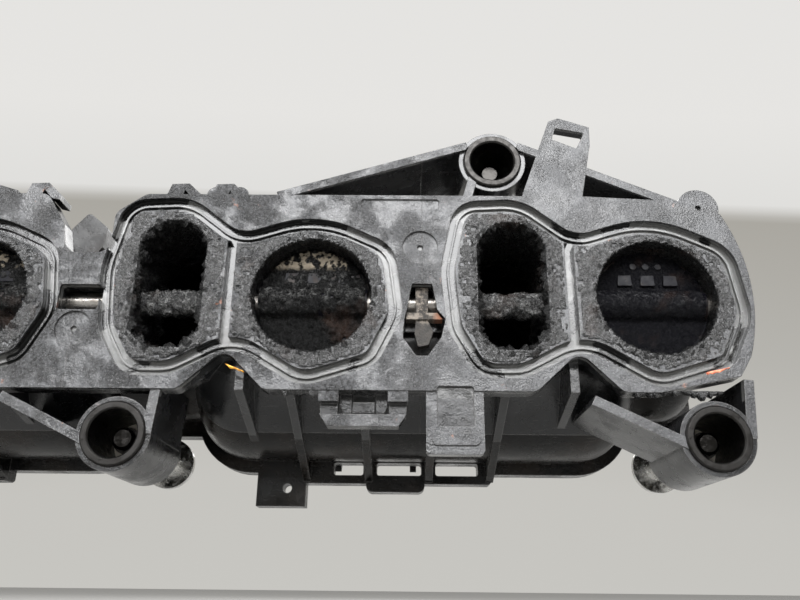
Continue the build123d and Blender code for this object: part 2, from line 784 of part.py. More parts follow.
with BuildPart() as link_rod:
    with BuildSketch(end_plane(link_x)):
        with Locations(lever_pin, crank_pin):
            Circle(5.6)
        with BuildLine():
            Polyline(
                (lever_pin[0], lever_pin[1] + 2.6),
                (crank_pin[0], crank_pin[1] + 2.6),
                (crank_pin[0], crank_pin[1] - 2.6),
                (lever_pin[0], lever_pin[1] - 2.6),
                close=True,
            )
        make_face()
    extrude(amount=link_thick)
    rod_x(pin_r + running_gap, link_x - 1, link_x + 5, *lever_pin, mode=Mode.SUBTRACT)
    rod_x(pin_r + 0.4, link_x - 1, link_x + 5, *crank_pin, mode=Mode.SUBTRACT)
link_rod.part.label = "link_rod"
export_step(link_rod.part, "parts/link_rod.step")

# ---------------------------------------------------------------- flap actuator
reduction_y, reduction_z = on_arc(output_y, output_z, gear_module * (output_teeth + small_teeth) / 2, 70)
motor_y, motor_z = on_arc(reduction_y, reduction_z, gear_module * (large_teeth + pinion_teeth) / 2, 80)

with BuildPart() as output_crank:
    crank_arm(output_y, output_z, lever_x - 1.5, lever_x + 2.0, 8.0)
    rod_x(output_r, -214.5, lever_x - 1.0, output_y, output_z)
output_crank.part.label = "output_crank"
export_step(output_crank.part, "parts/output_crank.step")

with BuildPart() as output_gear:
    with BuildSketch(end_plane(-211.5)):
        gear_outline(output_y, output_z, output_teeth, 70)
    extrude(amount=7.0)
    rod_x(output_r, -213, -203, output_y, output_z, mode=Mode.SUBTRACT)
    with BuildSketch(end_plane(-212)):
        with Locations((output_y, output_z)):
            with PolarLocations(11, 6):
                Circle(2.6)
    extrude(amount=9, mode=Mode.SUBTRACT)
output_gear.part.label = "output_gear"
export_step(output_gear.part, "parts/output_gear.step")

with BuildPart() as reduction_gear:
    with BuildSketch(end_plane(-213.0)):
        gear_outline(reduction_y, reduction_z, small_teeth, 70 + 180 + 180 / small_teeth)
    extrude(amount=8.5)
    with BuildSketch(end_plane(-217.5)):
        gear_outline(reduction_y, reduction_z, large_teeth, 80)
    extrude(amount=4.5)
    rod_x(axle_r + running_gap, -219, -203, reduction_y, reduction_z, mode=Mode.SUBTRACT)
reduction_gear.part.label = "reduction_gear"
export_step(reduction_gear.part, "parts/reduction_gear.step")

with BuildPart() as motor_pinion:
    with BuildSketch(end_plane(-218.0)):
        gear_outline(motor_y, motor_z, pinion_teeth, 80 + 180 + 180 / pinion_teeth)
    extrude(amount=5.5)
    rod_x(1.2, -219.0, -212.2, motor_y, motor_z)
motor_pinion.part.label = "motor_pinion"
export_step(motor_pinion.part, "parts/motor_pinion.step")

with BuildPart() as idler_axle:
    rod_x(axle_r, -219.5, case_back_x - 1.0, reduction_y, reduction_z)
idler_axle.part.label = "idler_axle"
export_step(idler_axle.part, "parts/idler_axle.step")

with BuildPart() as actuator_motor:
    rod_x(motor_r, -211.5, -187.5, motor_y, motor_z)
    chamfer(actuator_motor.edges().filter_by(GeomType.CIRCLE), 0.8)
actuator_motor.part.label = "actuator_motor"
export_step(actuator_motor.part, "parts/actuator_motor.step")


def case_outline(grow):
    """Rounded outline round the gears and the motor."""
    with Locations((output_y, output_z)):
        Circle(20.0 + grow)
    with Locations((reduction_y, reduction_z)):
        Circle(18.0 + grow)
    with Locations((motor_y, motor_z)):
        Circle(12.0 + grow)
    make_hull()


with BuildPart() as actuator_case:
    with BuildSketch(end_plane(case_front_x)):
        case_outline(case_wall)
    extrude(amount=case_back_x - case_front_x)
    for post, anchor in zip(case_posts, [(46.0, -14.0), (52.0, 30.0), (60.0, 8.0)]):
        with BuildSketch(end_plane(case_back_x - 7.0)) as lug:
            with Locations(post, anchor):
                Circle(6.0)
            make_hull()
        extrude(amount=7.0)
    rod_x(motor_r + 2.5, case_back_x - 1, -185.0, motor_y, motor_z)
    rod_x(output_r + 4.0, case_back_x - 1, case_back_x + 1.5, output_y, output_z)
    with BuildSketch(Plane.XY.offset(motor_z + 8)):
        with Locations((-212, motor_y)):
            RectangleRounded(16, 22, 3)
    extrude(amount=24)
    with BuildSketch(Plane.XY.offset(motor_z + 18)):
        with Locations((-212, motor_y)):
            RectangleRounded(12, 18, 2)
    extrude(amount=20, mode=Mode.SUBTRACT)
    with BuildSketch(end_plane(case_front_x - 1)):
        case_outline(0.0)
    extrude(amount=case_back_x - case_front_x + 1 - case_wall, mode=Mode.SUBTRACT)
    rod_x(motor_r + 0.02, -212, -187.4, motor_y, motor_z, mode=Mode.SUBTRACT)
    rod_x(output_r + running_gap, -202, case_back_x + 3, output_y, output_z, mode=Mode.SUBTRACT)
    rod_x(axle_r, case_back_x - 4, case_back_x - 1, reduction_y, reduction_z, mode=Mode.SUBTRACT)
    for post_y, post_z in case_posts:
        rod_x(2.7, case_back_x - 8, case_back_x + 1, post_y, post_z, mode=Mode.SUBTRACT)
actuator_case.part.label = "actuator_case"
export_step(actuator_case.part, "parts/actuator_case.step")

with BuildPart() as actuator_lid:
    with BuildSketch(end_plane(case_lid_x)):
        case_outline(case_wall)
    extrude(amount=case_front_x - case_lid_x)
    chamfer(actuator_lid.edges().group_by(Axis.X)[0], 1.0)
actuator_lid.part.label = "actuator_lid"
export_step(actuator_lid.part, "parts/actuator_lid.step")

with BuildPart() as actuator_pins:
    for pin_step in range(-2, 3):
        with BuildSketch(Plane.XY.offset(motor_z + 18)):
            with Locations((-212, motor_y + 3.2 * pin_step)):
                Rectangle(0.8, 1.6)
        extrude(amount=10)
actuator_pins.part.label = "actuator_pins"
export_step(actuator_pins.part, "parts/actuator_pins.step")

with BuildPart() as actuator_screws:
    for post_y, post_z in case_posts:
        rod_x(4.4, case_back_x - 10.5, case_back_x - 7.0, post_y, post_z)
        rod_x(2.0, case_back_x - 7.0, case_back_x + 14, post_y, post_z)
        with BuildSketch(end_plane(case_back_x - 11)):
            with Locations((post_y, post_z)):
                RegularPolygon(2.0, 6)
        extrude(amount=2.5, mode=Mode.SUBTRACT)
actuator_screws.part.label = "actuator_screws"
export_step(actuator_screws.part, "parts/actuator_screws.step")

# ---------------------------------------------------------------- boost pressure sensor
with BuildPart() as boost_sensor:
    with BuildSketch(Plane.XY.offset(sensor_seat_z)):
        with Locations((sensor_x, sensor_y)):
            Circle(9.5)
        with Locations((sensor_x + sensor_screw_step, sensor_y)):
            Circle(5.5)
        make_hull()
    extrude(amount=3.0)
    with BuildSketch(Plane.XY.offset(sensor_seat_z + 3)):
        with Locations((sensor_x, sensor_y)):
            RectangleRounded(17, 17, 3)
    extrude(amount=7.0)
    with BuildSketch(face_plane(sensor_y + 8)):
        with Locations((sensor_x, sensor_seat_z + 7.5)):
            RectangleRounded(14, 9, 2)
    extrude(amount=-18)
    with BuildSketch(face_plane(sensor_y + 27)):
        with Locations((sensor_x, sensor_seat_z + 7.5)):
            RectangleRounded(11, 6, 1.2)
    extrude(amount=13, mode=Mode.SUBTRACT)
    with BuildSketch(Plane.XY.offset(sensor_seat_z)):
        with Locations((sensor_x, sensor_y)):
            Circle(5.8)
    extrude(amount=-13)
    with BuildSketch(Plane.XY.offset(sensor_seat_z - 6.2)):
        with Locations((sensor_x, sensor_y)):
            Circle(6.5)
            Circle(4.6, mode=Mode.SUBTRACT)
    extrude(amount=2.2, mode=Mode.SUBTRACT)
    with BuildSketch(Plane.XY.offset(sensor_seat_z - 14)):
        with Locations((sensor_x, sensor_y)):
            Circle(2.0)
    extrude(amount=8, mode=Mode.SUBTRACT)
    with BuildSketch(Plane.XY.offset(sensor_seat_z - 1)):
        with Locations((sensor_x + sensor_screw_step, sensor_y)):
            Circle(2.4)
    extrude(amount=5, mode=Mode.SUBTRACT)
boost_sensor.part.label = "boost_sensor"
export_step(boost_sensor.part, "parts/boost_sensor.step")

with BuildPart() as sensor_seal:
    with BuildSketch(Plane.XY.offset(sensor_seat_z - 6.1)):
        with Locations((sensor_x, sensor_y)):
            Circle(6.25)
            Circle(4.65, mode=Mode.SUBTRACT)
    extrude(amount=2.0)
sensor_seal.part.label = "sensor_seal"
export_step(sensor_seal.part, "parts/sensor_seal.step")

with BuildPart() as sensor_screw:
    with BuildSketch(Plane.XY.offset(sensor_seat_z - 7)):
        with Locations((sensor_x + sensor_screw_step, sensor_y)):
            Circle(1.55)
    extrude(amount=10.0)
    with BuildSketch(Plane.XY.offset(sensor_seat_z + 3)):
        with Locations((sensor_x + sensor_screw_step, sensor_y)):
            Circle(4.2)
    extrude(amount=2.8)
    with BuildSketch(Plane.XY.offset(sensor_seat_z + 4)):
        with Locations((sensor_x + sensor_screw_step, sensor_y)):
            RegularPolygon(1.9, 6)
    extrude(amount=3, mode=Mode.SUBTRACT)
sensor_screw.part.label = "sensor_screw"
export_step(sensor_screw.part, "parts/sensor_screw.step")
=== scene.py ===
"""Looks of the intake manifold: soot crusts, oil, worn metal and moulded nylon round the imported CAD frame.

X runs along the engine, Y points away from the cylinder head, Z is up, and the sealing face is the plane
Y = 0. Sizes of the object and its soot are in mm and are turned into metres by MM. The camera, the lights
and the floor are in metres.
"""
import bpy
import json
import math
import numpy as np
from mathutils import Matrix, Vector, noise


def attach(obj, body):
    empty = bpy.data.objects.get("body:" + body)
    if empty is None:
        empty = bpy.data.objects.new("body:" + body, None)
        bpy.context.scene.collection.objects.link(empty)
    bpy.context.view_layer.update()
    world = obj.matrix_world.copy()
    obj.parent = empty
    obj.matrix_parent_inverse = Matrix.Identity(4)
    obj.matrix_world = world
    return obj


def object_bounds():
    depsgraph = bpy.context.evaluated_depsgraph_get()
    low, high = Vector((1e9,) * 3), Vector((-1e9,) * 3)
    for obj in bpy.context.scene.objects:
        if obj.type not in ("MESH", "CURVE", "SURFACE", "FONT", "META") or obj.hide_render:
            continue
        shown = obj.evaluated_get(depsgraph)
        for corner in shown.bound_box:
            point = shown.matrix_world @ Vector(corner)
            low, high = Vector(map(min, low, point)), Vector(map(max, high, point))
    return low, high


MM = 0.001
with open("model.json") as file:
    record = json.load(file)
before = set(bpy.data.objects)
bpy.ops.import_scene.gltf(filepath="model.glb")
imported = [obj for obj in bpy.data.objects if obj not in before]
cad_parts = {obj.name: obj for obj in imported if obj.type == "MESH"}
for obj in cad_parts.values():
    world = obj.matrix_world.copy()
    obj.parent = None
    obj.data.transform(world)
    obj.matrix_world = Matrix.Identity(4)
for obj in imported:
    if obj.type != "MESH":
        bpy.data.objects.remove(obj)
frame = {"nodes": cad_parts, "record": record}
cad_low, cad_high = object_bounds()
nodes = frame["nodes"]
scene = bpy.context.scene
scene.view_settings.view_transform = "Standard"

# ---------------------------------------------------------------- sizes of the object, as in the CAD, in mm
PAIRS = 4
PITCH = 91.0
LAST_ROUND_X = 156.5
ROUND_XS = [LAST_ROUND_X - PITCH * step for step in reversed(range(PAIRS))]
ROUND_R = 16.1
TALL_OFFSET = -37.75
FLAP_R = 15.6
FLAP_HALF_THICK = 1.3
SHAFT_Y = 8.0
SHAFT_R = 3.0
HUB_R = 4.6
HUB_HALF_LENGTH = 14.4
GROOVE_HALF = 1.9
GROOVE_BRIDGE_X = -22.1
BRIDGE_HALF = 1.25
FLANGE_FOOT_Z = -25.1
# Corners of the gasket groove's centre line, X and Z from the round port's centre, with their radii.
SEAL_CORNERS = [
    (-20.5, 15.6, 10.0), (0.5, 22.4, 26.0), (20.2, 13.2, 8.0), (22.6, -4.5, 10.0), (16.4, -17.4, 6.0),
    (-1.5, -23.0, 9.0), (-19.8, -12.0, 12.0), (-35.5, -20.2, 10.0), (-46.6, -20.3, 7.0), (-53.3, -8.6, 12.0),
    (-54.9, 8.0, 20.0), (-51.2, 26.2, 6.0), (-35.0, 27.0, 12.0),
]
# Corners of a tall port, from its middle on the shaft's line: a round head and a foot with two chamfers.
TALL_CORNERS = [
    (9.5, 21.8, 9.5), (9.5, -10.3, 1.0), (4.5, -15.3, 1.0),
    (-4.5, -15.3, 1.0), (-9.5, -10.3, 1.0), (-9.5, 21.8, 9.5),
]

# ---------------------------------------------------------------- soot, in mm
# Thickness of the crust on the land of each port pair, and on each flap. The last flap has only a film.
LAND_COAT = {1: 0.80, 2: 0.84, 3: 0.76, 4: 0.66}
FLAP_COAT = {1: 1.25, 2: 1.20, 3: 1.35, 4: 0.24}
FILM_FLAP = 4
LAND_STEP = 0.5
FLAP_STEP = 0.4
RING_STEP = 0.5
FLAP_GAP = 0.22
WALL_DEPTHS = [0.2, 0.8, 1.6, 2.6, 3.8, 5.0, 6.4, 8.0, 10.0, 12.5, 15.0, 18.0, 21.5, 25.0]
FRACTAL_GAIN = 0.6
FRACTAL_STEP = 2.1

# ---------------------------------------------------------------- stage, in metres
CAMERA_PLACE = (0.09066, -0.18555, -0.07247)
CAMERA_DIRECTION = (-0.00829, 0.93365, 0.35810)
CAMERA_ROLL = -0.6
CAMERA_LENS = 34.02
FLOOR_HALF = 9.0
FLOOR_GAP = 0.0005
# The studio's wall line: rise per unit of depth, and rise towards +X.
WALL_SLOPE = 0.544
WALL_TILT = -0.030


# ---------------------------------------------------------------- camera, light and floor
def look(thing, place, direction, roll=0.0):
    """Puts a camera or light at a place, facing a direction."""
    direction = Vector(direction).normalized()
    facing = direction.to_track_quat("-Z", "Y").to_matrix().to_4x4()
    rolled = Matrix.Rotation(math.radians(roll), 4, direction) @ facing
    thing.matrix_world = Matrix.Translation(place) @ rolled


def make_camera():
    """Camera close in front of the right half, below mid height, looking up at the sealing face."""
    data = bpy.data.cameras.new("camera")
    data.sensor_width = 36.0
    data.lens = CAMERA_LENS
    data.clip_start = 0.01
    data.clip_end = 30.0
    camera = bpy.data.objects.new("camera", data)
    scene.collection.objects.link(camera)
    look(camera, CAMERA_PLACE, CAMERA_DIRECTION, CAMERA_ROLL)
    scene.camera = camera


def make_softbox(name, place, target, size, radiance, tint=(1.0, 1.0, 1.0)):
    """Rectangular area light of a given brightness, aimed at a point."""
    data = bpy.data.lights.new(name, "AREA")
    data.shape = "RECTANGLE"
    data.size, data.size_y = size
    data.energy = radiance * math.pi * size[0] * size[1]
    data.color = tint
    light = bpy.data.objects.new(name, data)
    scene.collection.objects.link(light)
    look(light, place, Vector(target) - Vector(place))


def make_world():
    """Studio surround: a pale wall above a line that slopes back and up, a grey table colour below it."""
    world = bpy.data.worlds.new("studio")
    scene.world = world
    world.use_nodes = True
    tree = world.node_tree
    place = tree.nodes.new("ShaderNodeTexCoord")
    split = tree.nodes.new("ShaderNodeSeparateXYZ")
    depth = tree.nodes.new("ShaderNodeMath")
    depth.operation = "ABSOLUTE"
    slope = tree.nodes.new("ShaderNodeMath")
    slope.operation = "MULTIPLY_ADD"
    slope.inputs[1].default_value = -WALL_SLOPE
    tilt = tree.nodes.new("ShaderNodeMath")
    tilt.operation = "MULTIPLY_ADD"
    tilt.inputs[1].default_value = -WALL_TILT
    spread = tree.nodes.new("ShaderNodeMapRange")
    spread.inputs["From Min"].default_value = -1.0
    ramp = tree.nodes.new("ShaderNodeValToRGB")
    tree.links.new(place.outputs["Generated"], split.inputs[0])
    tree.links.new(split.outputs["Y"], depth.inputs[0])
    tree.links.new(depth.outputs[0], slope.inputs[0])
    tree.links.new(split.outputs["Z"], slope.inputs[2])
    tree.links.new(split.outputs["X"], tilt.inputs[0])
    tree.links.new(slope.outputs[0], tilt.inputs[2])
    tree.links.new(tilt.outputs[0], spread.inputs["Value"])
    tree.links.new(spread.outputs["Result"], ramp.inputs["Fac"])
    tree.links.new(ramp.outputs["Color"], tree.nodes["Background"].inputs["Color"])
    grey_steps = [
        (0.0, (0.60, 0.60, 0.57)),
        (0.30, (0.56, 0.55, 0.52)),
        (0.40, (0.46, 0.45, 0.42)),
        (0.494, (0.40, 0.385, 0.35)),
        (0.503, (0.74, 0.735, 0.715)),
        (0.56, (0.79, 0.78, 0.76)),
        (1.0, (0.74, 0.74, 0.73)),
    ]
    elements = ramp.color_ramp.elements
    elements.remove(elements[1])
    for step, (position, colour) in enumerate(grey_steps):
        element = elements[0] if step == 0 else elements.new(position)
        element.position = position
        element.color = (*colour, 1.0)


def make_floor():
    """Pale floor just under the object's lowest point."""
    half = FLOOR_HALF
    level = cad_low.z - FLOOR_GAP
    corners = [(-half, -half, level), (half, -half, level), (half, half, level), (-half, half, level)]
    mesh = bpy.data.meshes.new("floor")
    mesh.from_pydata(corners, [], [(0, 1, 2, 3)])
    floor = bpy.data.objects.new("floor", mesh)
    scene.collection.objects.link(floor)
    paint = Surface("pale_floor")
    grain = paint.noise(3.0, 4)
    paint.colour(paint.mix(grain, (0.30, 0.297, 0.287), (0.335, 0.332, 0.322)))
    paint.roughness(0.7)
    mesh.materials.append(paint.material)


# ---------------------------------------------------------------- node materials
class Surface:
    """A node material. Its methods add texture nodes, in mm of the CAD frame, and return their outputs."""

    def __init__(self, name, metallic=0.0, specular=0.5):
        self.material = bpy.data.materials.new(name)
        self.material.use_nodes = True
        self.tree = self.material.node_tree
        self.shader = self.tree.nodes["Principled BSDF"]
        self.shader.inputs["Metallic"].default_value = metallic
        self.shader.inputs["Specular IOR Level"].default_value = specular
        scale = self.add("ShaderNodeVectorMath")
        scale.operation = "SCALE"
        scale.inputs["Scale"].default_value = 1.0 / MM
        self.tree.links.new(self.add("ShaderNodeTexCoord").outputs["Object"], scale.inputs[0])
        self.place = scale.outputs[0]
        split = self.add("ShaderNodeSeparateXYZ")
        self.tree.links.new(self.place, split.inputs[0])
        self.x, self.y, self.z = split.outputs

    def add(self, kind):
        return self.tree.nodes.new(kind)

    def feed(self, value, socket):
        """Links an output, or sets a plain value."""
        if isinstance(value, bpy.types.NodeSocket):
            self.tree.links.new(value, socket)
        elif isinstance(value, tuple) and len(value) == 3 and socket.type == "RGBA":
            socket.default_value = (*value, 1.0)
        else:
            socket.default_value = value

    def math(self, operation, *values):
        node = self.add("ShaderNodeMath")
        node.operation = operation
        for value, socket in zip(values, node.inputs):
            self.feed(value, socket)
        return node.outputs[0]

    def times(self, *values):
        """Product of two or more values."""
        product = values[0]
        for value in values[1:]:
            product = self.math("MULTIPLY", product, value)
        return product

    def stretched(self, along):
        """Coordinates scaled by a factor on each axis, for grain that runs one way."""
        node = self.add("ShaderNodeVectorMath")
        node.operation = "MULTIPLY"
        self.feed(self.place, node.inputs[0])
        node.inputs[1].default_value = along
        return node.outputs[0]

    def noise(self, size, detail=3.0, rough=0.55, along=None, bend=0.0):
        """Cloudy noise from 0 to 1 with lumps of a size in mm."""
        node = self.add("ShaderNodeTexNoise")
        self.feed(self.stretched(along) if along else self.place, node.inputs["Vector"])
        node.inputs["Scale"].default_value = 1.0 / size
        node.inputs["Detail"].default_value = detail
        node.inputs["Roughness"].default_value = rough
        node.inputs["Distortion"].default_value = bend
        return node.outputs["Fac"]

    def cells(self, size):
        """Distance from scattered points that are about a size in mm apart."""
        node = self.add("ShaderNodeTexVoronoi")
        self.feed(self.place, node.inputs["Vector"])
        node.inputs["Scale"].default_value = 1.0 / size
        return node.outputs["Distance"]

    def band(self, value, low, high, start=0.0, end=1.0):
        """Smooth step of a value from start at low to end at high."""
        node = self.add("ShaderNodeMapRange")
        node.interpolation_type = "SMOOTHSTEP"
        for given, socket in zip((value, low, high, start, end), node.inputs):
            self.feed(given, socket)
        return node.outputs["Result"]

    def mix(self, share, first, second):
        """Colour that goes from first to second as share goes from 0 to 1."""
        node = self.add("ShaderNodeMix")
        node.data_type = "RGBA"
        factor, first_colour, second_colour = node.inputs[0], node.inputs[6], node.inputs[7]
        self.feed(share, factor)
        self.feed(first, first_colour)
        self.feed(second, second_colour)
        return node.outputs[2]

    def rounding(self, radius):
        """Normal rounded over edges by a radius in mm."""
        node = self.add("ShaderNodeBevel")
        node.samples = 3
        node.inputs["Radius"].default_value = radius * MM
        return node.outputs[0]

    def edge(self, radius):
        """1 along edges, 0 on flats."""
        turned = self.add("ShaderNodeVectorMath")
        turned.operation = "DOT_PRODUCT"
        self.feed(self.rounding(radius), turned.inputs[0])
        self.feed(self.add("ShaderNodeNewGeometry").outputs["Normal"], turned.inputs[1])
        return self.band(turned.outputs["Value"], 0.995, 0.86)

    def bump(self, height, depth, strength=1.0, under=None):
        """Bump of a height from 0 to 1, worth depth mm, over another normal."""
        node = self.add("ShaderNodeBump")
        node.inputs["Strength"].default_value = strength
        node.inputs["Distance"].default_value = depth * MM
        self.feed(height, node.inputs["Height"])
        if under is not None:
            self.feed(under, node.inputs["Normal"])
        return node.outputs[0]

    def colour(self, value):
        self.feed(value, self.shader.inputs["Base Color"])

    def roughness(self, value):
        self.feed(value, self.shader.inputs["Roughness"])

    def normal(self, value):
        self.feed(value, self.shader.inputs["Normal"])


def moulded(name, body, dust, rough, specular=0.5, sooty=False):
    """Glass-filled nylon: fine mould grain, dust film, oily stains, and lighter edges that are partly wear
    and partly a painted highlight.
    """
    s = Surface(name, specular=specular)
    film = s.band(s.noise(17.0, 5, 0.62), 0.42, 0.66)
    grime = s.band(s.noise(6.0, 6, 0.72, bend=0.3), 0.42, 0.76)
    fibre = s.band(s.noise(0.8, 2, 0.6, along=(0.35, 1.6, 1.4)), 0.60, 0.72)
    tone = s.mix(film, body, dust)
    tone = s.mix(s.times(fibre, 0.16), tone, (0.16, 0.155, 0.15))
    tone = s.mix(s.times(grime, 0.75), tone, (0.005, 0.0045, 0.004))
    # Edges painted lighter: partly wear, partly a painted highlight.
    tone = s.mix(s.times(s.edge(0.45), 0.5), tone, (0.16, 0.155, 0.15))
    gloss = s.band(s.noise(9.0, 4, 0.6), 0.35, 0.70, rough - 0.08, rough + 0.14)
    gloss = s.math("SUBTRACT", gloss, s.times(grime, 0.14))
    fine = s.bump(s.noise(0.45, 2, 0.6), 0.035, 1.0, s.rounding(0.35))
    relief = s.bump(s.noise(2.6, 5, 0.65), 0.10, 0.8, fine)
    if sooty:
        tone, gloss, relief = sooted(s, tone, gloss, relief)
    s.colour(tone)
    s.roughness(gloss)
    s.normal(relief)
    return s.material


def sooted(s, tone, gloss, relief):
    """Adds soot, pale specks that are partly ashen soot and partly painted glints, and rust-brown stains on
    the sealing face, and dust and oil on the groove's floor.
    """
    front = s.band(s.y, 1.2, 0.2)
    groove_floor = s.times(s.band(s.y, 0.7, 1.1), s.band(s.y, 2.5, 2.25))
    groove_floor = s.times(groove_floor, s.band(s.z, -27.6, -27.0), s.band(s.z, 30.6, 30.0))
    pepper = s.band(s.noise(0.75, 4, 0.75), 0.44, 0.58)
    heavy = s.band(s.noise(11.0, 4, 0.6), 0.40, 0.60)
    towards_left = s.band(s.x, 118.0, 62.0, 0.30, 1.0)
    dirt = s.times(front, heavy, towards_left)
    veil = s.times(front, s.band(s.noise(9.0, 4, 0.6), 0.36, 0.62, 0.05, 0.5))
    # Pale specks: partly ashen soot, partly painted glints.
    ash_and_glints = s.times(front, s.band(s.noise(0.5, 3, 0.7), 0.53, 0.66))
    wet = s.times(s.band(s.x, 82.0, 70.0), s.band(s.z, -6.0, 6.0, 0.0, 0.14))
    pools = s.math("ADD", s.noise(12.0, 2, 0.5), wet)
    oil = s.times(groove_floor, s.band(pools, 0.55, 0.58))
    rust = s.times(front, s.band(s.noise(7.5, 6, 0.7), 0.635, 0.68))
    tone = s.mix(veil, tone, (0.085, 0.087, 0.092))
    tone = s.mix(s.times(ash_and_glints, 0.22), tone, (0.34, 0.34, 0.35))
    tone = s.mix(s.times(dirt, pepper), tone, (0.005, 0.005, 0.005))
    tone = s.mix(s.times(groove_floor, 0.55), tone, (0.17, 0.17, 0.165))
    tone = s.mix(oil, tone, (0.003, 0.003, 0.003))
    tone = s.mix(s.times(rust, 0.55), tone, (0.30, 0.135, 0.085))
    gloss = s.times(gloss, s.band(oil, 0.0, 1.0, 1.0, 0.15))
    crumbs = s.bump(s.times(s.noise(0.8, 4, 0.8), dirt), 0.7, 1.0, relief)
    relief = s.bump(s.times(s.noise(0.42, 2, 0.7), front), 0.16, 0.9, crumbs)
    return tone, gloss, relief


def crusted(name, dark, pale, ash_and_glints, lump, depth, specular, on_flap=False):
    """Oily soot crust: black pits, sharp glints, and a pale grain that is partly ashen grey deposit and
    partly painted glints; painted shade darkens the grain where the crust lies behind Y = depth.

    On a flap the lower half is darker, as a painted shadow under the hub, and the top edge has cream lumps
    except on the last flap."""
    s = Surface(name, specular=specular)
    coarse = s.noise(1.5 * lump, 5, 0.72, bend=0.4)
    fine = s.noise(0.40, 3, 0.75)
    grain = s.math("ADD", s.times(coarse, 0.45), s.times(fine, 0.55))
    # Painted shade: the pale grain fades to dark where the crust lies deeper than Y = depth.
    grey = s.times(s.band(grain, 0.50, 0.60), s.band(s.y, depth, depth - 2.2, 0.10, 1.0))
    if on_flap:
        # Painted shadow: the lower half of a flap, under the hub, is darker.
        grey = s.times(grey, s.band(s.z, -3.0, 3.0, 0.12, 1.0))
    tone = s.mix(s.times(grey, ash_and_glints), dark, pale)
    brown = s.band(s.noise(14.0, 3, 0.6), 0.55, 0.72)
    tone = s.mix(s.times(brown, 0.30), tone, (0.045, 0.024, 0.016))
    if on_flap:
        cream = s.times(s.band(s.z, 9.2, 10.8), s.band(s.noise(2.6, 4, 0.6), 0.50, 0.55))
        cream = s.times(cream, s.band(s.x, 110.0, 100.0))
        tone = s.mix(s.times(cream, ash_and_glints), tone, (0.36, 0.31, 0.24))
    s.colour(tone)
    s.roughness(s.band(s.noise(0.9, 3, 0.7), 0.35, 0.65, 0.10, 0.38))
    s.normal(s.bump(fine, 0.34, 1.0, s.bump(coarse, 0.9)))
    return s.material


def metal(name, bright, stain, rough, turned=(1.0, 1.0, 1.0), amount=0.5, pitted=True, darkened_to=None):
    """Machined or plated metal with tool marks and stains, darker where Y is under darkened_to."""
    s = Surface(name, metallic=1.0)
    spots = s.band(s.noise(3.2, 6, 0.7), 0.48, 0.66)
    tone = s.mix(s.times(spots, amount), bright, stain)
    if pitted:
        tone = s.mix(s.band(s.cells(0.7), 0.16, 0.02), tone, stain)
    if darkened_to is not None:
        # Darker in front of Y = darkened_to, where the bolt ends sit in the towers' recesses.
        tone = s.mix(s.band(s.y, darkened_to, darkened_to - 3.0), tone, (0.022, 0.021, 0.020))
    s.colour(tone)
    s.roughness(s.band(s.noise(1.7, 4, 0.65), 0.30, 0.72, rough - 0.09, rough + 0.2))
    marks = s.bump(s.noise(0.3, 2, 0.6, along=turned), 0.008, 1.0, s.rounding(0.25))
    s.normal(s.bump(s.noise(2.0, 4, 0.6), 0.03, 0.7, marks))
    return s.material


def plastic(name, body, wear_and_highlight, rough, grain, oily, specular=0.5):
    """Plain moulded plastic or rubber with grain, oil marks, and lighter edges that are partly rubbed wear
    and partly a painted highlight.
    """
    s = Surface(name, specular=specular)
    marks = s.band(s.noise(5.0, 6, 0.7, bend=0.4), 0.48, 0.64)
    tone = s.mix(s.times(marks, oily), body, (0.035, 0.025, 0.018))
    # Edges painted lighter: partly rubbed wear, partly a painted highlight.
    tone = s.mix(s.times(s.edge(0.35), 0.5), tone, wear_and_highlight)
    tone = s.mix(s.band(s.noise(0.7, 2), 0.58, 0.75, 0.0, 0.3), tone, wear_and_highlight)
    s.colour(tone)
    s.roughness(s.band(s.noise(3.0, 4), 0.35, 0.7, rough - 0.07, rough + 0.15))
    fine = s.bump(s.noise(grain, 2, 0.6), 0.04, 1.0, s.rounding(0.3))
    s.normal(s.bump(s.noise(2.2, 4, 0.6), 0.07, 0.7, fine))
    return s.material


def clip_paint(name):
    """Shaft clips: beige oil crust, a rust-brown end to each crossbar and a black tail."""
    clip_span = (49.3, 49.3 + PITCH)
    bar_end = (97.0, 99.5)
    s = Surface(name, specular=0.4)
    crust = s.band(s.noise(1.6, 5, 0.7), 0.42, 0.60)
    tone = s.mix(crust, (0.018, 0.015, 0.012), (0.17, 0.145, 0.12))
    along_clip = s.math("WRAP", s.x, clip_span[1], clip_span[0])
    end = s.times(s.band(along_clip, *bar_end), s.band(s.z, -3.9, -4.6))
    tone = s.mix(end, tone, (0.20, 0.085, 0.045))
    tail = s.band(s.z, -6.2, -8.0)
    tone = s.mix(s.times(tail, 0.9), tone, (0.02, 0.018, 0.016))
    s.colour(tone)
    s.roughness(0.55)
    s.normal(s.bump(s.noise(0.7, 4, 0.75), 0.35, 1.0, s.rounding(0.3)))
    return s.material


def sealant_paint(name, body, shade):
    """Torn sealant or gasket residue."""
    s = Surface(name)
    s.colour(s.mix(s.band(s.noise(0.8, 3), 0.4, 0.65), body, shade))
    s.roughness(0.45)
    s.normal(s.bump(s.noise(0.5, 3), 0.15))
    return s.material


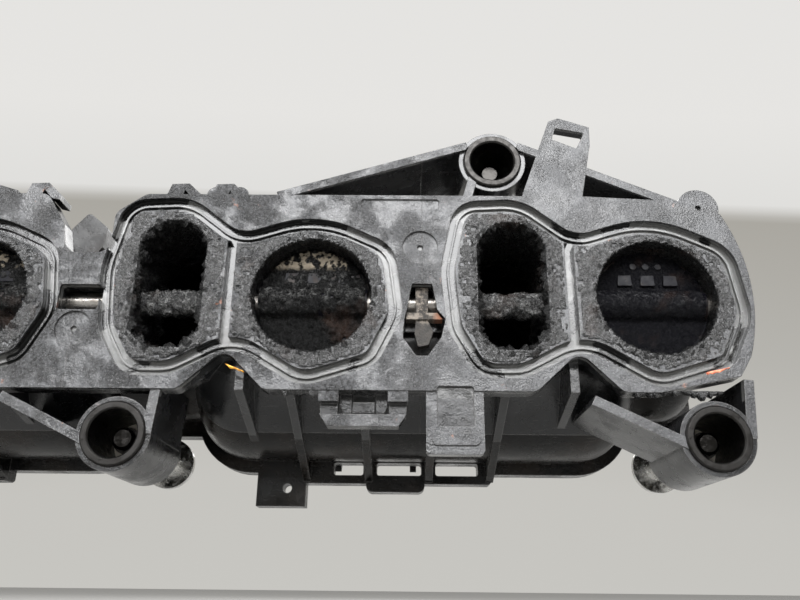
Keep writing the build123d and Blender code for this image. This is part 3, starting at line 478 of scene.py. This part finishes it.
def slot_materials():
    """One material for each material slot of the record."""
    along_x, along_y = (0.2, 1.0, 1.0), (1.0, 0.3, 1.0)
    brass = (0.80, 0.60, 0.28)
    return {
        "black_nylon": moulded("shell_nylon", (0.003, 0.003, 0.003), (0.011, 0.008, 0.006), 0.27, 0.22),
        "flap_plastic": plastic("flap_plastic", (0.002, 0.002, 0.004), (0.012,) * 3, 0.34, 0.8, 0.5, 0.10),
        "shaft_steel": metal("shaft_steel", (0.30, 0.285, 0.265), (0.07, 0.052, 0.04), 0.28, along_x),
        "zinc_steel": metal(
            "zinc_steel", (0.52, 0.515, 0.50), (0.14, 0.13, 0.12), 0.14, along_y, 0.12, False, darkened_to=26.0
        ),
        "sleeve_steel": metal(
            "sleeve_steel", (0.028, 0.027, 0.026), (0.010, 0.009, 0.008), 0.34, (1.0, 0.25, 1.0)
        ),
        "brass": metal("brass", brass, (0.35, 0.23, 0.10), 0.32),
        "seal_rubber": plastic("seal_rubber", (0.45, 0.16, 0.05), (0.55, 0.28, 0.14), 0.55, 0.6, 0.4),
        "bush_plastic": plastic("bush_plastic", (0.55, 0.52, 0.44), (0.70, 0.68, 0.60), 0.42, 0.6, 0.5),
        "case_plastic": plastic("case_plastic", (0.022, 0.022, 0.024), (0.12, 0.12, 0.12), 0.40, 0.5, 0.3),
        "gear_plastic": plastic("gear_plastic", (0.66, 0.63, 0.54), (0.78, 0.76, 0.70), 0.36, 0.6, 0.12),
        "pinion_brass": metal("pinion_brass", brass, (0.40, 0.27, 0.12), 0.25, along_x),
        "motor_can": metal("motor_can", (0.66, 0.66, 0.67), (0.36, 0.34, 0.31), 0.26, along_x, 0.3, False),
        "sensor_plastic": plastic(
            "sensor_plastic", (0.016, 0.016, 0.018), (0.10, 0.10, 0.10), 0.24, 0.7, 0.3
        ),
    }


def paint_cad_nodes():
    """Gives every CAD node its slot's material. The port blocks are sooted, and the clips crusted."""
    by_slot = slot_materials()
    sooted_nylon = moulded(
        "sooted_nylon", (0.010, 0.0105, 0.0115), (0.024, 0.024, 0.025), 0.25, sooty=True
    )
    clip = clip_paint("clip_crust")
    for subpart in frame["record"]["subparts"]:
        paint = by_slot[subpart["material_slot"]]
        if subpart["node"].startswith("port_"):
            paint = sooted_nylon
        if subpart["node"] == "shaft_clips":
            paint = clip
        for material_slot in nodes[subpart["node"]].material_slots:
            material_slot.material = paint


# ---------------------------------------------------------------- outlines and meshes
def rounded_outline(corners, x, step):
    """Points along a closed outline of straight runs and corner arcs, as an array of X and Z."""
    points = []
    for number, (cx, cz, radius) in enumerate(corners):
        corner = Vector((cx, cz))
        to_last = (Vector(corners[number - 1][:2]) - corner).normalized()
        to_next = (Vector(corners[(number + 1) % len(corners)][:2]) - corner).normalized()
        half = to_last.angle(to_next) / 2
        reach = radius / math.tan(half)
        centre = corner + (to_last + to_next).normalized() * (radius / math.sin(half))
        start = corner + to_last * reach - centre
        end = corner + to_next * reach - centre
        sweep = start.angle_signed(end)
        turns = max(2, round(abs(sweep) * radius / step))
        for turn in range(turns + 1):
            points.append(centre + Matrix.Rotation(-sweep * turn / turns, 2) @ start)
    even = []
    for first, second in zip(points, points[1:] + points[:1]):
        run = (second - first).length
        parts = max(1, round(run / step))
        if run > 1e-4:
            even += [first.lerp(second, part / parts) for part in range(parts)]
    return np.array([(p.x + x, p.y) for p in even])


def circle_outline(x, radius, step):
    """Points round a circle whose centre is at X = x and Z = 0."""
    steps = round(2 * math.pi * radius / step)
    angles = [2 * math.pi * n / steps for n in range(steps)]
    return np.array([(x + radius * math.cos(angle), radius * math.sin(angle)) for angle in angles])


def distance_to(outline, xs, zs):
    """Distance of grid points from a closed outline, positive outside."""
    flat = np.stack([xs.ravel(), zs.ravel()], 1)
    nearest = np.full(len(flat), np.inf)
    inside = np.zeros(len(flat), bool)
    for (ax, az), (bx, bz) in zip(outline, np.roll(outline, -1, 0)):
        run = np.array([bx - ax, bz - az])
        share = np.clip(((flat - (ax, az)) @ run) / (run @ run + 1e-12), 0, 1)
        gap = flat - (np.array([ax, az]) + share[:, None] * run)
        nearest = np.minimum(nearest, (gap**2).sum(1))
        if az != bz:
            crosses = (flat[:, 1] > min(az, bz)) & (flat[:, 1] <= max(az, bz))
            inside ^= crosses & (flat[:, 0] < ax + (flat[:, 1] - az) * (bx - ax) / (bz - az))
    return (np.sqrt(nearest) * np.where(inside, -1, 1)).reshape(xs.shape)


def rough_at(place, octaves=4, gain=FRACTAL_GAIN):
    """Fractal noise at a place, about -1 to 1."""
    return noise.fractal(place, gain, FRACTAL_STEP, octaves)


def lumps(xs, zs, size, seed, octaves=4, gain=FRACTAL_GAIN):
    """Random heights from about -0.5 to 0.5 over arrays of coordinates, with lumps of a size in mm."""
    flat = [rough_at((x / size, z / size, seed), octaves, gain) for x, z in zip(xs.ravel(), zs.ravel())]
    return np.array(flat).reshape(xs.shape) * 0.5


def add_piece(name, points, faces, material, body):
    """Smooth mesh piece that rides on a body."""
    mesh = bpy.data.meshes.new(name)
    mesh.from_pydata([tuple(c * MM for c in p) for p in points], [], faces)
    mesh.validate()
    mesh.materials.append(material)
    mesh.shade_smooth()
    piece = bpy.data.objects.new(name, mesh)
    scene.collection.objects.link(piece)
    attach(piece, body)


def crust_sheet(xs, zs, front, back, keep):
    """Closed crust over a grid: front and back are Y values, keep says which grid points it covers."""
    cells = keep[:-1, :-1] & keep[1:, :-1] & keep[:-1, 1:] & keep[1:, 1:]
    used = np.zeros(keep.shape, bool)
    for di in (0, 1):
        for dj in (0, 1):
            used[di : di + cells.shape[0], dj : dj + cells.shape[1]] |= cells
    total = int(used.sum())
    number = np.full(keep.shape, -1)
    number[used] = np.arange(total)
    points = [tuple(p) for y in (front, back) for p in np.stack([xs[used], y[used], zs[used]], 1)]
    faces = []
    sides = {}
    for i, j in zip(*np.nonzero(cells)):
        ring = [int(n) for n in (number[i, j], number[i + 1, j], number[i + 1, j + 1], number[i, j + 1])]
        faces.append(ring)
        faces.append([n + total for n in reversed(ring)])
        for a, b in zip(ring, ring[1:] + ring[:1]):
            if (b, a) in sides:
                del sides[(b, a)]
            else:
                sides[(a, b)] = True
    faces += [[b, a, a + total, b + total] for a, b in sides]
    return points, faces


def crust_ring(outline, section):
    """Closed crust along a port's edge. section(x, z) gives (distance outwards, Y) pairs round the bead."""
    run = np.roll(outline, -1, 0) - np.roll(outline, 1, 0)
    normal = np.stack([run[:, 1], -run[:, 0]], 1) / np.linalg.norm(run, axis=1)[:, None]
    if ((outline - outline.mean(0)) * normal).sum() < 0:
        normal = -normal
    points = []
    for (x, z), (nx, nz) in zip(outline, normal):
        bead = section(x, z)
        points += [(x + nx * out, y, z + nz * out) for out, y in bead]
    count, width = len(outline), len(bead)
    faces = []
    for i in range(count):
        here, ahead = i * width, ((i + 1) % count) * width
        for j in range(width):
            k = (j + 1) % width
            faces.append([here + j, here + k, ahead + k, ahead + j])
    return points, faces


# ---------------------------------------------------------------- soot on the sealing face and in the ports
def land_crust(number, round_x):
    """Crust on the land between the ports and the gasket groove, with crumbs outside it."""
    left, right, low_z, high_z = -60.0, 27.0, -26.5, 31.0
    near_port = 1.3
    thickest = 2.0
    back_y = 0.35
    x_line = np.arange(round_x + left, round_x + right, LAND_STEP)
    z_line = np.arange(low_z, high_z, LAND_STEP)
    xs, zs = np.meshgrid(x_line, z_line, indexing="ij")
    seal = distance_to(rounded_outline(SEAL_CORNERS, round_x, 1.0), xs, zs)
    tall = distance_to(rounded_outline(TALL_CORNERS, round_x + TALL_OFFSET, 1.0), xs, zs)
    port = np.minimum(tall, np.hypot(xs - round_x, zs) - ROUND_R)
    inside = -seal - GROOVE_HALF
    bridge = np.abs(xs - round_x - GROOVE_BRIDGE_X) - BRIDGE_HALF
    broad = lumps(xs, zs, 7.0, number * 3.1)
    small = lumps(xs, zs, 1.6, number * 5.3, 5, 0.5)
    sharp = np.abs(lumps(xs, zs, 2.6, number * 7.7))
    spill = 1.1 * lumps(xs, zs, 5.0, number * 2.3)
    coat = LAND_COAT[number]
    height = coat * (0.16 + 0.55 * broad + 0.75 * small) + 0.9 * sharp * coat
    height += coat * (0.75 + 1.2 * small) * np.exp(-np.maximum(port, 0) / near_port)
    edge = np.clip(inside + spill + 0.4, -1.5, 1.0)
    height = np.where(edge < 1, height - (1 - edge) * 0.9, height)
    height -= np.clip(0.9 - bridge, 0, 1) * (0.8 - 0.5 * coat)
    height = np.minimum(height, thickest)
    keep = (height > 0.0) & (port > -0.45) & (seal < 3.0)
    return crust_sheet(xs, zs, -np.maximum(height, 0.0) - 0.01, np.full(xs.shape, back_y), keep)


def port_lip(outline, number, is_round):
    """Crust that rounds over a port's mouth and lines its wall."""
    coat = LAND_COAT[number]
    wall_coat = 0.45 if is_round else 1.25
    thinnest, thickest_in_tall = 0.04, 2.2
    sag, sag_depth = 0.55, 6

    def room(y):
        """How far a wall crust may stand in before the swinging flap meets it."""
        if not is_round:
            return thickest_in_tall
        swing = FLAP_R + FLAP_GAP
        return ROUND_R - math.sqrt(max(swing**2 - (y - SHAFT_Y) ** 2, 0.0))

    def grain(x, y, z, size, seed):
        return rough_at((x / size, z / size, y / size + seed))

    def section(x, z):
        top = coat * (0.35 + 0.9 * abs(grain(x, 0, z, 2.0, number))) + 0.1
        bead = [(1.9, 0.25), (1.3, -0.35 * top), (0.6, -0.8 * top), (0.1, -top), (-0.35 * coat, -0.65 * top)]
        for y in WALL_DEPTHS:
            lump = 0.50 + 1.3 * grain(x, y, z, 2.4, 3.7 + number) + 0.6 * grain(x, y, z, 0.9, 9.1)
            lower = sag * max(0.0, -z / 16.0) if y < sag_depth else 0.0
            inward = min(max(wall_coat * lump + lower, thinnest), max(room(y), thinnest))
            bead.append((-inward, y))
        return bead + [(0.5, WALL_DEPTHS[-1]), (0.9, 12.0), (0.9, 1.2)]

    return crust_ring(outline, section)


def soot_ports():
    """For each port pair, crust on the land and a crust along the walls of both ports, painted darker than
    the land as the shade inside the ports. Returns the land's material.
    """
    land = crusted("soot_crust", (0.002,) * 3, (0.19, 0.19, 0.195), 0.75, 0.8, 1.2, 1.0)
    # The ports' wall crust is a darker copy of the land crust: painted shade inside the ports.
    shaded_lining = crusted("shaded_bore_crust", (0.002,) * 3, (0.030,) * 3, 0.5, 0.9, 1.2, 0.35)
    for number, round_x in enumerate(ROUND_XS, start=1):
        points, faces = land_crust(number, round_x)
        add_piece(f"port_soot_{number}", points, faces, land, "manifold")
        circle = circle_outline(round_x, ROUND_R, RING_STEP)
        tall = rounded_outline(TALL_CORNERS, round_x + TALL_OFFSET, RING_STEP)
        for kind, outline in (("round", circle), ("tall", tall)):
            points, faces = port_lip(outline, number, kind == "round")
            add_piece(f"{kind}_port_soot_{number}", points, faces, shaded_lining, "manifold")
    return land


# ---------------------------------------------------------------- soot on the flaps and the shaft
def soot_flaps():
    """Crust on each flap's front: thick on three of them, a thin film on the last."""
    # Both flap materials are painted darker behind Y = depth as shade, and on each flap's lower half as the
    # shadow under the hub.
    crust = crusted("flap_crust", (0.002,) * 3, (0.13, 0.13, 0.127), 0.7, 1.3, 6.6, 0.12, on_flap=True)
    film = crusted(
        "flap_film", (0.002, 0.002, 0.003), (0.090, 0.090, 0.093), 0.5, 1.0, 6.2, 0.08, on_flap=True
    )
    line = np.arange(-FLAP_R, FLAP_R + 0.01, FLAP_STEP)
    across, zs = np.meshgrid(line, line, indexing="ij")
    radius = np.hypot(across, zs)
    hub = (np.abs(zs) < HUB_R) & (np.abs(across) < HUB_HALF_LENGTH)
    hub_face = SHAFT_Y - np.sqrt(np.maximum(HUB_R**2 - zs**2, 0))
    face = np.full(across.shape, SHAFT_Y - FLAP_HALF_THICK)
    face = np.where(hub, np.minimum(face, hub_face), face)
    swing = SHAFT_Y - np.sqrt(np.maximum((FLAP_R + 0.12) ** 2 - radius**2, 0))
    for number, round_x in enumerate(ROUND_XS, start=1):
        xs = across + round_x
        coat = FLAP_COAT[number]
        thick = coat * (0.55 + 1.1 * lumps(xs, zs, 3.5, 1.7) + 0.9 * lumps(xs, zs, 1.1, 4.1))
        thick += 0.35 * coat * np.abs(lumps(xs, zs, 6.0, 8.8))
        if number == FILM_FLAP:
            thick = np.maximum(thick, 0.05) + 0.30 * np.exp(-((zs / 3.2) ** 2))
        keep = (thick > 0.03) & (radius < FLAP_R - 0.15)
        points, faces = crust_sheet(xs, zs, np.maximum(face - thick, swing), face + 0.5, keep)
        paint = film if number == FILM_FLAP else crust
        add_piece(f"flap_soot_{number}", points, faces, paint, "flap_train")


def soot_shaft():
    """Lumpy crust round the shaft where it crosses each tall port."""
    # Painted shade: the crust behind Y = 8.5, on the shaft's far side, is darker.
    crust = crusted("shaft_crust", (0.003,) * 3, (0.22, 0.22, 0.215), 0.8, 1.2, 8.5, 0.5)
    half_length, around, columns = 9.35, 44, 48
    thinnest, thickest, tucked_in = 0.08, 1.5, 0.4
    for number, round_x in enumerate(ROUND_XS, start=1):
        middle = round_x + TALL_OFFSET
        points = []
        for i in range(columns + 1):
            x = middle - half_length + 2 * half_length * i / columns
            for j in range(around):
                angle = 2 * math.pi * j / around
                cy, cz = math.cos(angle), math.sin(angle)
                lump = rough_at((x / 2.2, cy * 1.6, cz * 1.6 + number), 5)
                thick = 0.55 + 0.75 * lump + 0.25 * noise.noise((x / 0.7, cy * 4, cz * 4))
                r = SHAFT_R + max(thinnest, min(thick, thickest))
                if i in (0, columns):
                    r = SHAFT_R - tucked_in
                points.append((x, SHAFT_Y + r * cy, r * cz))
        faces = []
        for i in range(columns):
            for j in range(around):
                a, b = i * around + j, i * around + (j + 1) % around
                faces.append([a, b, b + around, a + around])
        faces.append(list(reversed(range(around))))
        faces.append(list(range(columns * around, (columns + 1) * around)))
        add_piece(f"shaft_soot_{number}", points, faces, crust, "flap_train")


# ---------------------------------------------------------------- flakes and residue
def ragged_strip(name, x_span, top_z, hang, y_span, material, seed, lean=0.0):
    """Closed strip with a torn lower edge, hanging from top_z."""
    step = 0.45
    thinnest = 0.12
    x_from, x_to = x_span
    y_from, y_to = y_span
    count = max(6, round((x_to - x_from) / step))
    points = []
    for i in range(count + 1):
        share = i / count
        x = x_from + (x_to - x_from) * share
        z = top_z + lean * share
        taper = math.sin(math.pi * min(max(share, 0.02), 0.98)) ** 0.35
        drop = max(hang * taper * (0.55 + 0.9 * rough_at((x / 1.7, seed, 0.3))), thinnest)
        swell = 0.35 * noise.noise((x / 1.2, seed * 2.0, 4.0))
        points += [
            (x, y_from - swell, z),
            (x, y_from + 0.3 - swell, z - drop * 0.75),
            (x, (y_from + y_to) / 2, z - drop),
            (x, y_to - 0.2, z - drop * 0.7),
            (x, y_to, z),
        ]
    sides = 5
    faces = []
    for i in range(count):
        for j in range(sides):
            a, b = i * sides + j, i * sides + (j + 1) % sides
            faces.append([a, a + sides, b + sides, b])
    faces.append(list(reversed(range(sides))))
    faces.append(list(range(count * sides, (count + 1) * sides)))
    add_piece(name, points, faces, material, "manifold")


def add_residue(crust):
    """Soot flakes under the flange's lower edge, and torn sealant at two places."""
    orange = sealant_paint("orange_sealant", (0.85, 0.42, 0.04), (0.60, 0.22, 0.02))
    salmon = sealant_paint("salmon_sealant", (0.78, 0.25, 0.13), (0.42, 0.10, 0.06))
    for number, round_x in enumerate(ROUND_XS, start=1):
        span = (round_x - 9.0, round_x + 14.0)
        ragged_strip(f"edge_flakes_{number}", span, FLANGE_FOOT_Z, 2.4, (0.3, 3.4), crust, 3.3 * number)
    ragged_strip("orange_residue", (44.6, 49.4), -19.0, 0.9, (-0.2, 1.2), orange, 7.0, -1.9)
    ragged_strip("salmon_residue", (166.8, 172.8), -20.3, 1.1, (-0.25, 0.6), salmon, 9.0, 1.3)


# ---------------------------------------------------------------- the scene
make_camera()
make_world()
make_floor()
make_softbox("key_softbox", (0.02, -0.95, 0.60), (0.06, 0.0, 0.0), (1.2, 0.62), 16.0, (0.985, 0.99, 1.0))
make_softbox("top_softbox", (0.10, 0.15, 1.05), (0.05, 0.02, 0.0), (1.0, 0.5), 5.0)
make_softbox("side_softbox", (-0.95, -0.10, 0.25), (0.0, 0.0, 0.0), (0.5, 0.7), 2.5)
make_softbox("rear_softbox", (0.45, 1.0, 0.55), (0.0, 0.05, 0.0), (0.8, 0.5), 4.0)

paint_cad_nodes()
LAND_CRUST = soot_ports()
soot_flaps()
soot_shaft()
add_residue(LAND_CRUST)
